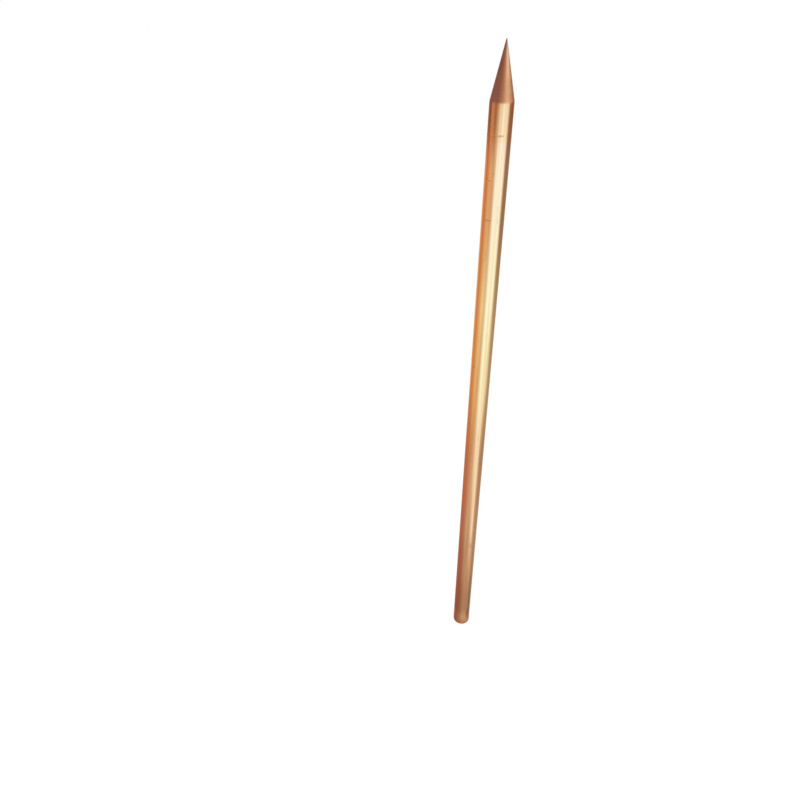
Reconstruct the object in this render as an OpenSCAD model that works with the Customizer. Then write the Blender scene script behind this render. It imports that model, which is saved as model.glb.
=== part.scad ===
// Pointed earth rod: one drawn copper bar, turned to a cone at one end and cut square at the other.
// It stands on its butt face with the point up. The axis is Z, and the origin is the butt's centre.

/* [Bar] */
// Length from the butt face to the end of the point
rod_length = 600; // [300:10:3000]
// Diameter of the drawn bar
rod_d = 18; // [10:0.5:40]

/* [Point] */
// Height of the turned cone, from its shoulder on the bar to the end of the point
point_length = 39; // [20:1:120]
// Radius of the ball that blunts the end of the point
tip_r = 0.4; // [0.2:0.1:3]

/* [Butt] */
// Width of the 45 degree bevel round the flat end that is struck when the rod is driven
butt_bevel = 1; // [0.25:0.25:4]

/* [Hidden] */
$fn = 96;

rod_r = rod_d / 2;
shoulder_z = rod_length - point_length;

// The cone's side touches the tip ball. Seen from the ball's centre, the touching point lies
// at the cone's half angle above the level, so its radius and height follow from that angle.
ball_z = rod_length - tip_r;
ball_rise = ball_z - shoulder_z;
half_angle = acos(tip_r / norm([rod_r, ball_rise])) - atan2(ball_rise, rod_r);
touch_r = tip_r * cos(half_angle);
touch_z = ball_z + tip_r * sin(half_angle);

// The part of the tip ball that stands above the cone, as a half section.
module tip_section() {
    intersection() {
        translate([0, ball_z]) circle(r = tip_r);
        translate([0, touch_z]) square([tip_r, tip_r]);
    }
}

// Half section of the whole rod: radius across, height up.
module rod_section() {
    polygon([
        [0, 0],
        [rod_r - butt_bevel, 0],
        [rod_r, butt_bevel],
        [rod_r, shoulder_z],
        [touch_r, touch_z],
        [0, touch_z]
    ]);
    tip_section();
}

module earth_rod() {
    color("peru") rotate_extrude() rod_section();
}

earth_rod();
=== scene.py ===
"""A pointed copper earth rod, standing on its butt.

The rod is one bar, so it is one turned mesh with three finishes: the drawn bar, the turned point
and the cut butt. Lengths are in metres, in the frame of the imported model.
"""
import math
from collections import namedtuple

import bmesh
import bpy
from mathutils import Matrix, Vector


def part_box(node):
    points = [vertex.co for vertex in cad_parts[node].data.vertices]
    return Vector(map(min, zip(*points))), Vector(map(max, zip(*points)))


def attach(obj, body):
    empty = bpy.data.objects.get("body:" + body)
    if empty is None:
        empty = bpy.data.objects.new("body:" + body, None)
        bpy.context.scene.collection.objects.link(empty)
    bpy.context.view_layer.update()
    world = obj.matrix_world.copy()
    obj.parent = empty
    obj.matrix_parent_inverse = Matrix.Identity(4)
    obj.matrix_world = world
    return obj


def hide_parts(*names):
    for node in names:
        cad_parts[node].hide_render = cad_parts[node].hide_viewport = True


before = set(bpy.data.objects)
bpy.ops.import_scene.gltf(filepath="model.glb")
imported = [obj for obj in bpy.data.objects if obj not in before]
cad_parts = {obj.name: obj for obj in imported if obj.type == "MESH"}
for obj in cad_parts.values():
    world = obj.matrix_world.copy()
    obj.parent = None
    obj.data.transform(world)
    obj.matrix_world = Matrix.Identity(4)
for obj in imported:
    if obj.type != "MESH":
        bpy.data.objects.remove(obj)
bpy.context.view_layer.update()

MM = 0.001

# Sizes of the rod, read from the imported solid. A vertex beyond ON_BAR of the radius lies on the bar.
NODE = "earth_rod"
ON_BAR = 0.995
rod_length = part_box(NODE)[1].z
rod_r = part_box(NODE)[1].x
bar_levels = [v.co.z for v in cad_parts[NODE].data.vertices if v.co.xy.length > ON_BAR * rod_r]
bevel = min(bar_levels)
shoulder_z = max(bar_levels)
point_length = rod_length - shoulder_z
TIP_R = 0.4 * MM

# Rows and corners of the mesh. The ball at the tip has rows up to TIP_END, in degrees above the level.
SEGMENTS = 144
BAR_STEP = 4.5 * MM
EDGE_R = 0.3 * MM
SHOULDER_R = 1.0 * MM
CORNER_STEPS = 4
TIP_STEPS = 6
TIP_END = 80

# Fine rings that the tool leaves on the cone, up to its plain tip, and on the face of the butt
FEED_PITCH = 0.65 * MM
FEED_DEPTH = 0.015 * MM
FACING_PITCH = 0.5 * MM
FACING_DEPTH = 0.022 * MM
ROWS_PER_PITCH = 4
PLAIN_TIP = 4 * TIP_R

# Grip marks round the bar: distance below the shoulder, and the turn in degrees where the arc is deepest
GRIP_MARKS = [(16.5 * MM, 300), (21.7 * MM, 280), (48 * MM, 260), (83 * MM, 230)]
MARK_REACH = 1.0 * MM
MARK_CORE = 0.3 * MM
MARK_DEPTH = 0.025 * MM
MARK_ROWS = 6

# Small dark nicks in the bar: height, bearing from the camera in degrees, and size across and along
NICKS = [
    (509 * MM, -50, 1.0 * MM, 0.7 * MM),
    (507.5 * MM, -30, 1.8 * MM, 0.6 * MM),
    (347 * MM, -44, 0.9 * MM, 2.2 * MM),
]
NICK_CORE = 0.4

# The map of the mesh, in shares of its side: the bar in columns, the point in a strip above them, and
# the butt in a disc beside the strip
MAP_NAME = "OFBake"
MAP_COLUMNS = 3
COLUMN_MARGIN = 0.02
COLUMN_BASE = 0.005
COLUMN_HEIGHT = 0.735
STRIP_LEFT = 0.01
STRIP_WIDTH = 0.64
STRIP_BASE = 0.755
STRIP_HEIGHT = 0.235
DISC_X = 0.83
DISC_Y = 0.875
DISC_R = 0.115

# The photograph's camera, as worked out from the rod's own outline. Lens and sensor are in millimetres.
CAMERA_DISTANCE = 0.5040
CAMERA_HEIGHT = 0.6358
CAMERA_PITCH = math.radians(33.293)
CAMERA_YAW = math.radians(8.232)
CAMERA_ROLL = math.radians(-0.015)
CAMERA_LENS = 29.155
SENSOR_WIDTH = 36

# Colours of the copper, as linear red, green and blue. The bar's own go by the share of its height; their
# darkening towards the butt is partly painted shade.
BAR_TONES_AND_SHADE = [
    (0.00, (0.36, 0.135, 0.065)),
    (0.06, (0.38, 0.150, 0.075)),
    (0.14, (0.47, 0.195, 0.100)),
    (0.23, (0.58, 0.265, 0.132)),
    (0.33, (0.63, 0.285, 0.138)),
    (0.43, (0.68, 0.325, 0.155)),
    (0.55, (0.75, 0.420, 0.190)),
    (0.70, (0.77, 0.460, 0.215)),
    (0.85, (0.78, 0.430, 0.235)),
    (0.93, (0.74, 0.400, 0.215)),
]
STREAK = (0.66, 0.56, 0.50)
COLLAR_TINT = (1.0, 0.95, 0.84)
# lighter band by the foot: partly wear, partly a painted highlight
WORN_AND_SHEEN = (0.54, 0.22, 0.11)
STAIN = (0.30, 0.125, 0.06)
TURNED = (0.70, 0.40, 0.24)
TURNED_TIP = (0.36, 0.28, 0.23)
CUT = (0.74, 0.37, 0.20)
EDGE_TINT = (0.96, 0.84, 0.76)

# The grain of a finish: features a metre across the rod and along it, detail, and a seed. A band is the
# stretch of a grain's values over which a mark comes in, and a share says how strongly it shows.
Grain = namedtuple("Grain", "across along detail seed")

# Finish of the bar. The collar's tint comes in between two distances below the shoulder, and the lighter
# band at the foot, partly wear and partly a painted highlight, between two heights at its lower side and
# two at its upper side.
CLOUD = Grain(42, 11, 3.0, 0.0)
TONE_AND_SHADE_WANDER = 0.16
STREAKS = Grain(580, 3.5, 3.0, 4.0)
STREAK_BAND = (0.40, 0.66)
STREAK_SHARE = 0.35
COLLAR_FROM = 28 * MM
COLLAR_FULL = 23.8 * MM
WORN_SHEEN_LOW = (6 * MM, 12 * MM)
WORN_SHEEN_HIGH = (24 * MM, 16.8 * MM)
WORN_SHEEN_WANDER = 30 * MM
WORN_SHEEN_SHARE = 0.35
STAINS = Grain(150, 50, 4.0, 2.0)
STAIN_BAND = (0.66, 0.76)
STAIN_SHARE = 0.45
BREAKS = Grain(265, 360, 2.0, 6.7)
BREAK_BAND = (0.52, 0.64)
MARK_SHARE = 0.45
NICK_SHARE = 0.55
HAIRLINES = Grain(2600, 14, 2.0, 9.0)
HAIR_SHARE = 0.06
DRAWN_DEPTH = 0.13 * MM
BAR_ROUGH = 0.12
STREAK_ROUGH = 0.06
COLLAR_ROUGH = 0.06
STAIN_ROUGH = 0.12
MARK_ROUGH = 0.2

# Finish of the point. Its darkened end is a share of its length.
TOOL_RINGS = Grain(17, 1950, 2.0, 0.0)
TOOL_BAND = (0.35, 0.70)
TOOL_SHADE = 0.87
TOOL_DEPTH = 0.025 * MM
DULLING = Grain(97, 56, 3.0, 3.0)
DULL_BAND = (0.50, 0.75)
DULL_SHARE = 0.25
DARK_END = 0.28
DARK_SHARE = 0.85
POINT_ROUGH = 0.20
TOOL_ROUGH = 0.12

# Finish of the butt
CUT_GRAIN = Grain(970, 970, 3.0, 0.0)
CUT_DEPTH = 0.03 * MM
CUT_CLOUD = Grain(220, 220, 3.0, 5.0)
CUT_BAND = (0.40, 0.72)
CUT_SHADE = 0.66
BUTT_ROUGH = 0.28
CUT_ROUGH = 0.2

# A wall of soft light round the rod, which only its reflections show: warm light from the left, a window
# with a soft border, the lit floor, and the dark between them
DUSK = (0.36, 0.23, 0.21)
WARM = (0.83, 0.52, 0.31)
WARM_HIGH = (0.83, 0.45, 0.24)
WARM_COLLAR = (0.84, 0.57, 0.47)
WARM_LIT = (1.08, 0.95, 0.72)
WARM_DIM = (0.86, 0.83, 0.71)
WARM_SHADE = (0.78, 0.74, 0.60)
WARM_MID = (0.75, 0.43, 0.33)
WARM_LOW = (0.75, 0.47, 0.44)
GOLD = (1.22, 1.20, 0.98)
SHADOW = (0.60, 0.38, 0.25)
SHOULDER_SHADE = (0.49, 0.30, 0.21)
HAZE = (0.92, 1.00, 0.97)
SOFT = (1.00, 1.20, 1.25)
WINDOW = (1.36, 2.12, 2.90)
WINDOW_LOW = (1.58, 2.50, 3.20)
WINDOW_SIDE = (1.23, 1.75, 2.08)
WINDOW_EDGE = (1.05, 1.32, 1.50)
FLOOR_LIT = (1.10, 1.38, 1.32)
FLOOR_BRIGHT = (1.29, 1.73, 1.66)
DARK = (0.41, 0.36, 0.31)
DARK_MID = (0.54, 0.55, 0.51)
DARK_LOW = (0.58, 0.62, 0.60)
GREY = (0.75, 0.85, 0.80)
POINT_SHADE = (0.34, 0.205, 0.22)
POINT_LIT = (1.10, 1.01, 0.86)
POINT_WARM = (1.00, 0.79, 0.58)
WHITE = (1.0, 1.0, 1.0)

# Stops of bearing, in degrees to the right of the camera, and light, from the foot up to the point. Each
# list starts at the seam behind the rod, and its last light blends into its first one there.
SEAM = -165
FLOOR_BEHIND = [(135, GREY), (180, FLOOR_LIT)]
WINDOW_BEHIND = [(168, WINDOW_EDGE), (180, WINDOW)]
FOOT_LIGHT = [
    (SEAM, SOFT), (-145, WARM_LOW), (-64, WARM_LOW), (-22, HAZE), (12, FLOOR_LIT), (55, FLOOR_LIT),
    (92, DARK_LOW), *FLOOR_BEHIND,
]
BUTT_LIGHT = [
    (SEAM, SOFT), (-145, WARM_LOW), (-64, WARM_LOW), (-20, HAZE), (6, FLOOR_BRIGHT), (44, FLOOR_BRIGHT),
    (68, DARK_LOW), *FLOOR_BEHIND,
]
FLOOR_LIGHT = [
    (SEAM, SOFT), (-145, WARM_LOW), (-66, WARM_LOW), (-26, SOFT), (4, FLOOR_LIT), (20, FLOOR_LIT),
    (48, FLOOR_BRIGHT), (66, FLOOR_LIT), (92, GREY), *FLOOR_BEHIND,
]
LOW_LIGHT = [
    (SEAM, SOFT), (-145, WARM_LOW), (-70, WARM_LOW), (-30, SOFT), (-18, SOFT), (-4, HAZE), (8, HAZE),
    (36, WINDOW_LOW), (46, WINDOW_LOW), (64, WINDOW_EDGE), (82, GREY), (135, GREY), (180, WINDOW_EDGE),
]
MID_LIGHT = [
    (SEAM, SOFT), (-145, WARM_MID), (-90, WARM_MID), (-36, WARM_DIM), (-12, SOFT), (8, WINDOW_SIDE),
    (26, WINDOW_LOW), (38, WINDOW_LOW), (60, WINDOW_EDGE), (82, DARK_LOW), (135, DARK_LOW),
    (180, WINDOW_EDGE),
]
BAR_LIGHT = [
    (SEAM, SOFT), (-145, WARM_LIT), (-112, WARM), (-86, WARM), (-64, WARM_LIT), (-46, WARM_LIT),
    (-30, WARM_DIM), (-10, SOFT), (2, WINDOW), (34, WINDOW), (50, WINDOW_SIDE), (70, WINDOW_SIDE),
    (94, DARK_LOW), (135, DARK_LOW), *WINDOW_BEHIND,
]
GOLD_LIGHT = [
    (SEAM, SOFT), (-145, WARM_LIT), (-112, WARM), (-86, WARM), (-68, WARM_LIT), (-46, GOLD), (-28, SOFT),
    (-10, SOFT), (2, WINDOW), (56, WINDOW), (74, WINDOW_EDGE), (92, DARK_MID), (135, DARK_MID),
    *WINDOW_BEHIND,
]
HIGH_LIGHT = [
    (SEAM, SOFT), (-145, WARM_LIT), (-112, WARM_HIGH), (-86, WARM_HIGH), (-66, WARM_LIT), (-54, WARM_LIT),
    (-36, WARM_SHADE), (-30, WARM_SHADE), (-16, SOFT), (-11, SOFT), (1, WINDOW), (52, WINDOW),
    (70, WINDOW_EDGE), (88, DARK), (135, DARK), *WINDOW_BEHIND,
]
SHOULDER_LIGHT = [
    (SEAM, SOFT), (-138, DUSK), (-98, DUSK), (-82, WARM_COLLAR), (-66, WARM_COLLAR),
    (-48, SHOULDER_SHADE), (-38, SHOULDER_SHADE), (-18, SOFT), (-8, SOFT), (6, WINDOW), (46, WINDOW),
    (68, WINDOW_EDGE), (90, DUSK), (135, DUSK), *WINDOW_BEHIND,
]
POINT_LIGHT = [
    (SEAM, SOFT), (-138, POINT_SHADE), (-34, POINT_SHADE), (8, SHADOW), (44, POINT_LIT), (56, POINT_LIT),
    (84, POINT_WARM), (130, DARK), (180, POINT_LIT),
]
TIP_LIGHT = [
    (SEAM, SOFT), (-138, POINT_SHADE), (-34, POINT_SHADE), (8, SHADOW), (42, POINT_LIT),
    (68, WINDOW_SIDE), (140, WINDOW_SIDE), (180, POINT_LIT),
]
OPEN_LIGHT = [(SEAM, WHITE)]

# The wall's rims, as radius, height and stops: a disc by the foot, a wall round the rod, and an open top
RING_R = 0.108
RING_STEP = 2
RIMS = [
    (0.0102, 0.0, FOOT_LIGHT),
    (0.014, 0.0, FOOT_LIGHT),
    (0.019, 0.0, BUTT_LIGHT),
    (0.025, 0.0, BUTT_LIGHT),
    (0.031, 0.0, FOOT_LIGHT),
    (0.055, 0.0, FOOT_LIGHT),
    (0.086, 0.0, FLOOR_LIGHT),
    (RING_R, 0.05, LOW_LIGHT),
    (RING_R, 0.165, MID_LIGHT),
    (RING_R, 0.275, BAR_LIGHT),
    (RING_R, 0.36, GOLD_LIGHT),
    (RING_R, 0.44, HIGH_LIGHT),
    (RING_R, 0.495, HIGH_LIGHT),
    (RING_R, 0.528, SHOULDER_LIGHT),
    (RING_R, 0.546, SHOULDER_LIGHT),
    (RING_R, 0.578, POINT_LIGHT),
    (RING_R, 0.6, POINT_LIGHT),
    (RING_R, 0.618, TIP_LIGHT),
    (RING_R, 0.642, TIP_LIGHT),
    (RING_R, 0.675, OPEN_LIGHT),
]

# A soft lamp over the floor, and the floor, with the share of it that is plain white to the eye
SKY_SIZE = (3.0, 3.0)
SKY_HEIGHT = 2.6
SKY_RADIANCE = 1.0
FLOOR_COLOUR = (0.98, 0.98, 0.98)
FLOOR_WHITE = 0.92
FLOOR_HALF = 40.0
FLOOR_GAP = 0.5 * MM


def toward(bearing, distance, z):
    """A place at that bearing, in degrees to the right of the camera as seen from the rod's front."""
    turn = math.radians(bearing)
    return Vector((distance * math.sin(turn), -distance * math.cos(turn), z))


def blend(a, b, share):
    return tuple(x + (y - x) * share for x, y in zip(a, b))


def shaded(colour, share):
    return tuple(share * c for c in colour)


# Finishes


class Nodes:
    """Short words for building a node tree. A value is a number, a colour or another node's socket."""

    def __init__(self, tree):
        self.tree = tree
        tree.nodes.clear()

    def add(self, kind, **settings):
        made = self.tree.nodes.new(kind)
        for name, value in settings.items():
            setattr(made, name, value)
        return made

    def feed(self, socket, value):
        if isinstance(value, bpy.types.NodeSocket):
            self.tree.links.new(value, socket)
        elif isinstance(value, tuple) and socket.type == "RGBA":
            socket.default_value = (*value, 1.0)
        else:
            socket.default_value = value

    def math(self, operation, a, b=0.0, clamp=False):
        made = self.add("ShaderNodeMath", operation=operation, use_clamp=clamp)
        self.feed(made.inputs[0], a)
        self.feed(made.inputs[1], b)
        return made.outputs[0]

    def added(self, base, *terms):
        """A base plus each term's value times its amount."""
        for value, amount in terms:
            base = self.math("ADD", base, self.math("MULTIPLY", value, amount))
        return base

    def wander(self, base, grain, span):
        """A base that a grain moves up and down, over that span in all."""
        return self.math("ADD", base, self.added(-span / 2, (grain, span)))

    def mix(self, share, a, b, kind="MIX"):
        made = self.add("ShaderNodeMix", data_type="RGBA", blend_type=kind)
        self.feed(made.inputs["Factor"], share)
        self.feed(made.inputs[6], a)
        self.feed(made.inputs[7], b)
        return made.outputs[2]

    def tinted(self, colour, mask, share, tint, kind="MIX"):
        """A colour that takes on that share of a tint wherever the mask is 1."""
        return self.mix(self.math("MULTIPLY", mask, share), colour, tint, kind)

    def ramp(self, value, stops):
        made = self.add("ShaderNodeValToRGB")
        steps = made.color_ramp.elements
        while len(steps) < len(stops):
            steps.new(1.0)
        for step, (place, colour) in zip(steps, stops):
            step.position = place
            step.color = (*colour, 1.0)
        self.feed(made.inputs[0], value)
        return made.outputs[0]

    def between(self, value, low, high):
        """0 below low, 1 above high, and smooth in between. low may be the larger one."""
        made = self.add("ShaderNodeMapRange", interpolation_type="SMOOTHSTEP")
        self.feed(made.inputs["Value"], value)
        self.feed(made.inputs["From Min"], low)
        self.feed(made.inputs["From Max"], high)
        return made.outputs[0]

    def place(self):
        """The point's place in the rod's own frame."""
        return self.add("ShaderNodeTexCoord").outputs["Object"]

    def height(self, place):
        made = self.add("ShaderNodeSeparateXYZ")
        self.feed(made.inputs[0], place)
        return made.outputs[2]

    def noise(self, place, grain):
        moved = self.add("ShaderNodeMapping")
        self.feed(moved.inputs["Vector"], place)
        moved.inputs["Scale"].default_value = (grain.across, grain.across, grain.along)
        moved.inputs["Location"].default_value = (grain.seed, grain.seed, grain.seed)
        made = self.add("ShaderNodeTexNoise")
        self.feed(made.inputs["Vector"], moved.outputs[0])
        self.feed(made.inputs["Scale"], 1.0)
        self.feed(made.inputs["Detail"], grain.detail)
        return made.outputs[0]

    def spot(self, place, centre, across, along, core):
        """1 in the core of a spot of that size round a centre, fading to 0 at its edge."""
        away = self.add("ShaderNodeVectorMath", operation="SUBTRACT")
        self.feed(away.inputs[0], place)
        away.inputs[1].default_value = centre
        shares = self.add("ShaderNodeVectorMath", operation="DIVIDE")
        self.feed(shares.inputs[0], away.outputs[0])
        shares.inputs[1].default_value = (across, across, along)
        reach = self.add("ShaderNodeVectorMath", operation="LENGTH")
        self.feed(reach.inputs[0], shares.outputs[0])
        return self.between(reach.outputs["Value"], 1.0, core)

    def bump(self, height, depth):
        made = self.add("ShaderNodeBump")
        self.feed(made.inputs["Height"], height)
        self.feed(made.inputs["Distance"], depth)
        return made.outputs[0]

    def metal(self, colour, roughness, normal):
        shader = self.add("ShaderNodeBsdfPrincipled")
        self.feed(shader.inputs["Base Color"], colour)
        self.feed(shader.inputs["Metallic"], 1.0)
        self.feed(shader.inputs["Specular Tint"], EDGE_TINT)
        self.feed(shader.inputs["Roughness"], roughness)
        self.feed(shader.inputs["Normal"], normal)
        self.output(shader.outputs[0])

    def output(self, shader, kind="ShaderNodeOutputMaterial"):
        self.feed(self.add(kind).inputs["Surface"], shader)


def new_material(name):
    material = bpy.data.materials.new(name)
    material.use_nodes = True
    return material, Nodes(material.node_tree)


def drawn_copper():
    """The bar: drawn lengthwise, golden near the point and redder and darker towards the butt, the
    darkening partly painted shade, with a lighter band by the foot that is partly wear and partly a
    painted highlight.
    """
    material, n = new_material("drawn_copper")
    place = n.place()
    height = n.height(place)
    cloud = n.noise(place, CLOUD)
    streak = n.noise(place, STREAKS)
    hair = n.noise(place, HAIRLINES)

    # painted shade: the colour ramp darkens towards the butt, partly standing in for mirrored shade
    level = n.math("DIVIDE", height, rod_length)
    colour = n.ramp(n.wander(level, cloud, TONE_AND_SHADE_WANDER), BAR_TONES_AND_SHADE)
    shade = n.between(streak, *STREAK_BAND)
    colour = n.tinted(colour, shade, STREAK_SHARE, STREAK, "MULTIPLY")
    collar = n.between(height, shoulder_z - COLLAR_FROM, shoulder_z - COLLAR_FULL)
    colour = n.mix(collar, colour, COLLAR_TINT, "MULTIPLY")
    # lighter band by the foot: partly wear, partly a painted highlight
    ragged = n.wander(height, cloud, WORN_SHEEN_WANDER)
    worn_sheen = n.math("MULTIPLY", n.between(ragged, *WORN_SHEEN_LOW), n.between(ragged, *WORN_SHEEN_HIGH))
    colour = n.tinted(colour, worn_sheen, WORN_SHEEN_SHARE, WORN_AND_SHEEN)
    stain = n.between(n.noise(place, STAINS), *STAIN_BAND)
    colour = n.tinted(colour, stain, STAIN_SHARE, STAIN)

    marks = 0.0
    broken = n.between(n.noise(place, BREAKS), *BREAK_BAND)
    for below, _ in GRIP_MARKS:
        away = n.math("ABSOLUTE", n.math("SUBTRACT", height, shoulder_z - below))
        marks = n.math("ADD", marks, n.between(away, MARK_REACH, MARK_CORE))
    marks = n.math("MULTIPLY", marks, broken, clamp=True)
    colour = n.tinted(colour, marks, MARK_SHARE, STAIN)

    for up, bearing, across, along in NICKS:
        nick = n.spot(place, toward(bearing, rod_r, up), across, along, NICK_CORE)
        colour = n.tinted(colour, nick, NICK_SHARE, STAIN)

    rough = n.added(BAR_ROUGH, (shade, STREAK_ROUGH), (collar, COLLAR_ROUGH))
    rough = n.added(rough, (stain, STAIN_ROUGH), (marks, MARK_ROUGH))
    n.metal(colour, rough, n.bump(n.added(streak, (hair, HAIR_SHARE)), DRAWN_DEPTH))
    return material


def turned_copper():
    """The point: matt, with fine rings round it, and darkened at its end."""
    material, n = new_material("turned_copper")
    place = n.place()
    height = n.height(place)
    rings = n.noise(place, TOOL_RINGS)
    colour = n.mix(n.between(rings, *TOOL_BAND), TURNED, shaded(TURNED, TOOL_SHADE))
    dull = n.between(n.noise(place, DULLING), *DULL_BAND)
    colour = n.tinted(colour, dull, DULL_SHARE, STAIN)
    end = n.between(height, rod_length - DARK_END * point_length, rod_length)
    colour = n.tinted(colour, end, DARK_SHARE, TURNED_TIP)
    n.metal(colour, n.added(POINT_ROUGH, (rings, TOOL_ROUGH)), n.bump(rings, TOOL_DEPTH))
    return material


def cut_copper():
    """The butt: cut square, so its metal is fresher, with the tool's rings on its face."""
    material, n = new_material("cut_copper")
    place = n.place()
    grain = n.noise(place, CUT_GRAIN)
    cloud = n.between(n.noise(place, CUT_CLOUD), *CUT_BAND)
    colour = n.mix(cloud, CUT, shaded(CUT, CUT_SHADE))
    n.metal(colour, n.added(BUTT_ROUGH, (grain, CUT_ROUGH)), n.bump(grain, CUT_DEPTH))
    return material


def background_ray(n):
    """1 for the rays that see the background: straight from the camera, mirrored or through glass."""
    path = n.add("ShaderNodeLightPath").outputs
    seen = n.math("MAXIMUM", path["Is Camera Ray"], path["Is Glossy Ray"])
    return n.math("MAXIMUM", seen, path["Is Transmission Ray"])


def floor_white():
    """A white floor that keeps a faint shadow, and can be looked through from below."""
    material, n = new_material("floor_white")
    matt = n.add("ShaderNodeBsdfDiffuse")
    n.feed(matt.inputs["Color"], FLOOR_COLOUR)
    glow = n.add("ShaderNodeEmission")
    mixed = n.add("ShaderNodeMixShader")
    n.feed(mixed.inputs[0], n.math("MULTIPLY", background_ray(n), FLOOR_WHITE))
    n.feed(mixed.inputs[1], matt.outputs[0])
    n.feed(mixed.inputs[2], glow.outputs[0])
    sided = n.add("ShaderNodeMixShader")
    n.feed(sided.inputs[0], n.add("ShaderNodeNewGeometry").outputs["Backfacing"])
    n.feed(sided.inputs[1], mixed.outputs[0])
    n.feed(sided.inputs[2], n.add("ShaderNodeBsdfTransparent").outputs[0])
    n.output(sided.outputs[0])
    return material


def ring_glow():
    """Gives off the light that each vertex of the ring carries."""
    material, n = new_material("ring_glow")
    glow = n.add("ShaderNodeEmission")
    n.feed(glow.inputs["Color"], n.add("ShaderNodeVertexColor", layer_name="light").outputs[0])
    n.output(glow.outputs[0])
    return material


# The rod's mesh

BUTT, BAR, POINT = range(3)


def swell(angle):
    """1 at no turn, falling smoothly to 0 at half a turn."""
    return 0.5 + 0.5 * math.cos(angle)


def arc(centre, radius, start, end, steps):
    """Points on an arc in the plane of radius and height, with angles in degrees from the level."""
    turns = [math.radians(start + (end - start) * i / steps) for i in range(steps + 1)]
    return [(centre[0] + radius * math.cos(t), centre[1] + radius * math.sin(t)) for t in turns]


def rounded(before, corner, after, radius):
    """The corner between two straight stretches, replaced by a small curve that touches both."""
    before, corner, after = Vector(before), Vector(corner), Vector(after)
    start = corner + (before - corner).normalized() * radius
    end = corner + (after - corner).normalized() * radius
    curve = []
    for i in range(CORNER_STEPS + 1):
        t = i / CORNER_STEPS
        curve.append(tuple((1 - t) ** 2 * start + 2 * t * (1 - t) * corner + t**2 * end))
    return curve


def between_rows(a, b, count):
    """count - 1 points spaced evenly between two points of the section."""
    return [tuple(Vector(a).lerp(Vector(b), i / count)) for i in range(1, count)]


def section():
    """Half section of the rod from the butt's centre to the point, as (radius, height, finish)."""
    ball_z = rod_length - TIP_R
    rise = ball_z - shoulder_z
    half_angle = math.acos(TIP_R / math.hypot(rod_r, rise)) - math.atan2(rise, rod_r)
    touch = (TIP_R * math.cos(half_angle), ball_z + TIP_R * math.sin(half_angle))

    butt_edge = (rod_r - bevel, 0.0)
    bevel_top = (rod_r, bevel)
    shoulder = (rod_r, shoulder_z)
    rows = []

    face_rows = math.ceil(butt_edge[0] / FACING_PITCH * ROWS_PER_PITCH)
    for i in range(1, face_rows):
        r = butt_edge[0] * i / face_rows
        rows.append((r, FACING_DEPTH * (1 - swell(math.tau * r / FACING_PITCH)), BUTT))
    rows += [(r, z, BUTT) for r, z in rounded((0, 0), butt_edge, bevel_top, EDGE_R)]
    rows += [(r, z, BUTT) for r, z in rounded(butt_edge, bevel_top, shoulder, EDGE_R)]

    foot = rows[-1][1]
    crown = rounded(bevel_top, shoulder, touch, SHOULDER_R)
    crown_middle = CORNER_STEPS // 2 + 1
    levels = {foot + BAR_STEP * i for i in range(1, int((crown[0][1] - foot) / BAR_STEP))}
    mark_rows = range(-MARK_ROWS, MARK_ROWS + 1)
    for below, _ in GRIP_MARKS:
        levels |= {shoulder_z - below + MARK_REACH * i / MARK_ROWS for i in mark_rows}
    rows += [(rod_r, z, BAR) for z in sorted(levels)]
    rows += [(r, z, BAR) for r, z in crown[:crown_middle]]
    rows += [(r, z, POINT) for r, z in crown[crown_middle:]]

    cone_rows = math.ceil((touch[1] - crown[-1][1]) / FEED_PITCH * ROWS_PER_PITCH)
    rows += [(r, z, POINT) for r, z in between_rows(crown[-1], touch, cone_rows)]
    ball = arc((0, ball_z), TIP_R, math.degrees(half_angle), TIP_END, TIP_STEPS)
    rows += [(r, z, POINT) for r, z in ball]
    return rows


def worked(r, z, finish, turn):
    """The radius at a turn of the rod, with the tool's feed on the cone and the grip marks on the bar."""
    if finish == POINT and z < rod_length - PLAIN_TIP:
        r -= FEED_DEPTH * (1 - swell(math.tau * z / FEED_PITCH - turn))
    if finish == BAR:
        for below, deepest in GRIP_MARKS:
            away = abs(z - (shoulder_z - below)) / MARK_REACH
            if away < 1:
                r -= MARK_DEPTH * swell(turn - math.radians(deepest)) * swell(math.pi * away)
    return r


def map_column(z):
    """The column of the map that shows the bar at a height."""
    share = (z - bevel) / (shoulder_z - bevel)
    return min(max(int(share * MAP_COLUMNS), 0), MAP_COLUMNS - 1)


def map_place(row, share, finish, column):
    """The place on the map of a point that is that share of a turn round a row of the section."""
    r, z = row[:2]
    if finish == BUTT:
        turn = math.tau * share
        reach = DISC_R * (r + z) / (rod_r + bevel)
        return DISC_X + reach * math.cos(turn), DISC_Y + reach * math.sin(turn)
    if finish == BAR:
        length = (shoulder_z - bevel) / MAP_COLUMNS
        across = COLUMN_MARGIN + (1 - 2 * COLUMN_MARGIN) * share
        up = (z - bevel - column * length + BAR_STEP) / (length + 2 * BAR_STEP)
        return (column + across) / MAP_COLUMNS, COLUMN_BASE + COLUMN_HEIGHT * up
    up = (z - shoulder_z + SHOULDER_R) / (point_length + SHOULDER_R)
    return STRIP_LEFT + STRIP_WIDTH * share, STRIP_BASE + STRIP_HEIGHT * up


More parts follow.
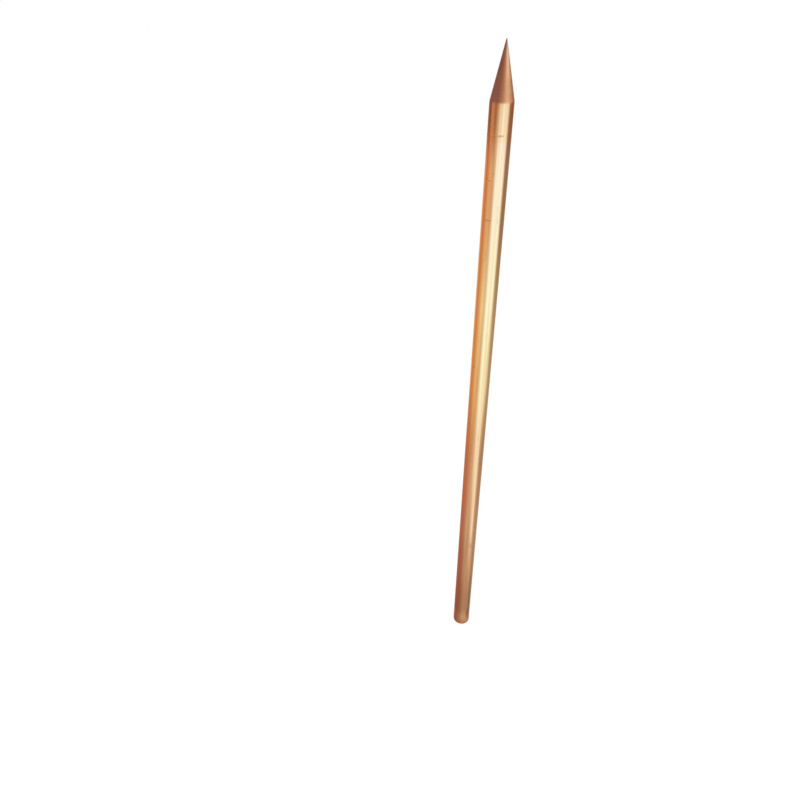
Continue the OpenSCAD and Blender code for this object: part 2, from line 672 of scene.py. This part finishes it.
def make_rod():
    mesh = bmesh.new()
    uv = mesh.loops.layers.uv.new(MAP_NAME)
    rows = section()
    rings = []
    for r, z, finish in rows:
        ring = []
        for i in range(SEGMENTS):
            turn = math.tau * i / SEGMENTS
            radius = worked(r, z, finish, turn)
            ring.append(mesh.verts.new((radius * math.cos(turn), radius * math.sin(turn), z)))
        rings.append(ring)

    def add_face(corners, finish, column=0):
        """A face from corners of (vertex, row of the section, share of a turn)."""
        face = mesh.faces.new([vertex for vertex, _, _ in corners])
        face.material_index = finish
        face.smooth = True
        for loop, (_, row, share) in zip(face.loops, corners):
            loop[uv].uv = map_place(row, share, finish, column)

    bottom = mesh.verts.new((0, 0, 0))
    top = mesh.verts.new((0, 0, rod_length))
    first, last = rows[0], rows[-1]
    centre, end = (0, 0), (0, rod_length)
    for i in range(SEGMENTS):
        j = (i + 1) % SEGMENTS
        a, middle, b = i / SEGMENTS, (i + 0.5) / SEGMENTS, (i + 1) / SEGMENTS
        for k in range(len(rows) - 1):
            low, high = rows[k], rows[k + 1]
            column = map_column((low[1] + high[1]) / 2)
            corners = [(rings[k][i], low, a), (rings[k][j], low, b)]
            corners += [(rings[k + 1][j], high, b), (rings[k + 1][i], high, a)]
            add_face(corners, high[2], column)
        add_face([(bottom, centre, middle), (rings[0][j], first, b), (rings[0][i], first, a)], BUTT)
        add_face([(top, end, middle), (rings[-1][i], last, a), (rings[-1][j], last, b)], POINT)

    data = bpy.data.meshes.new("earth_rod_turned")
    mesh.to_mesh(data)
    mesh.free()
    rod = bpy.data.objects.new("earth_rod_turned", data)
    bpy.context.collection.objects.link(rod)
    for make in (cut_copper, drawn_copper, turned_copper):
        data.materials.append(make())
    return rod


# Stage, lamp and camera


def make_floor():
    data = bpy.data.meshes.new("floor")
    sides = ((-1, -1), (1, -1), (1, 1), (-1, 1))
    corners = [(x * FLOOR_HALF, y * FLOOR_HALF, -FLOOR_GAP) for x, y in sides]
    data.from_pydata(corners, [], [(0, 1, 2, 3)])
    data.materials.append(floor_white())
    floor = bpy.data.objects.new("floor", data)
    bpy.context.collection.objects.link(floor)
    return floor


def light_at(stops, bearing):
    """The light at a bearing, blended between the stops on either side of it."""
    closed = stops + [(SEAM + 360, stops[0][1])]
    for (start, before), (end, after) in zip(closed, closed[1:]):
        if start <= bearing <= end:
            return blend(before, after, (bearing - start) / (end - start))


def make_ring(name, rims):
    """A ring of light through rims of (radius, height, stops)."""
    points, lights, faces = [], [], []
    count = 360 // RING_STEP
    for i in range(count):
        bearing = SEAM + RING_STEP * i
        for radius, height, stops in rims:
            points.append(toward(bearing, radius, height))
            lights.append(light_at(stops, bearing))
    across = len(rims)
    for i in range(count):
        j = (i + 1) % count
        for k in range(across - 1):
            faces.append((i * across + k, j * across + k, j * across + k + 1, i * across + k + 1))
    data = bpy.data.meshes.new(name)
    data.from_pydata(points, [], faces)
    carried = data.color_attributes.new("light", "FLOAT_COLOR", "POINT")
    for held, light in zip(carried.data, lights):
        held.color = (*light, 1.0)
    data.materials.append(ring_glow())
    ring = bpy.data.objects.new(name, data)
    bpy.context.collection.objects.link(ring)
    ring.visible_camera = False
    ring.visible_diffuse = False
    ring.visible_shadow = False
    ring.visible_transmission = False
    return ring


def make_lamp(name, place, aim, size, radiance):
    """A soft panel that lights the floor. The rod mirrors the world instead of it."""
    data = bpy.data.lights.new(name, "AREA")
    data.shape = "RECTANGLE"
    data.size, data.size_y = size
    data.energy = radiance * math.pi * size[0] * size[1]
    lamp = bpy.data.objects.new(name, data)
    lamp.location = place
    lamp.rotation_euler = (aim - place).to_track_quat("-Z", "Y").to_euler()
    lamp.visible_camera = False
    lamp.visible_glossy = False
    bpy.context.collection.objects.link(lamp)


def make_world():
    world = bpy.data.worlds.new("world")
    bpy.context.scene.world = world
    world.use_nodes = True
    n = Nodes(world.node_tree)
    light = n.add("ShaderNodeBackground")
    n.feed(light.inputs["Color"], WHITE)
    n.output(light.outputs[0], "ShaderNodeOutputWorld")


def make_camera():
    level = Vector((-math.sin(CAMERA_YAW), math.cos(CAMERA_YAW), 0))
    ahead = level * math.cos(CAMERA_PITCH) - Vector((0, 0, math.sin(CAMERA_PITCH)))
    flat_right = ahead.cross(Vector((0, 0, 1))).normalized()
    flat_up = flat_right.cross(ahead)
    right = flat_right * math.cos(CAMERA_ROLL) + flat_up * math.sin(CAMERA_ROLL)
    up = right.cross(ahead)
    data = bpy.data.cameras.new("camera")
    data.sensor_width = SENSOR_WIDTH
    data.lens = CAMERA_LENS
    camera = bpy.data.objects.new("camera", data)
    turned = Matrix((right, up, -ahead)).transposed().to_4x4()
    camera.matrix_world = Matrix.Translation((0, -CAMERA_DISTANCE, CAMERA_HEIGHT)) @ turned
    bpy.context.collection.objects.link(camera)
    bpy.context.scene.camera = camera


rod = make_rod()
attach(rod, "root")
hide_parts(NODE)

make_floor()
make_ring("ring_light", RIMS)
make_lamp("sky_panel", Vector((0, 0, SKY_HEIGHT)), Vector((0, 0, 0)), SKY_SIZE, SKY_RADIANCE)
make_world()
make_camera()
bpy.context.scene.view_settings.view_transform = "Standard"
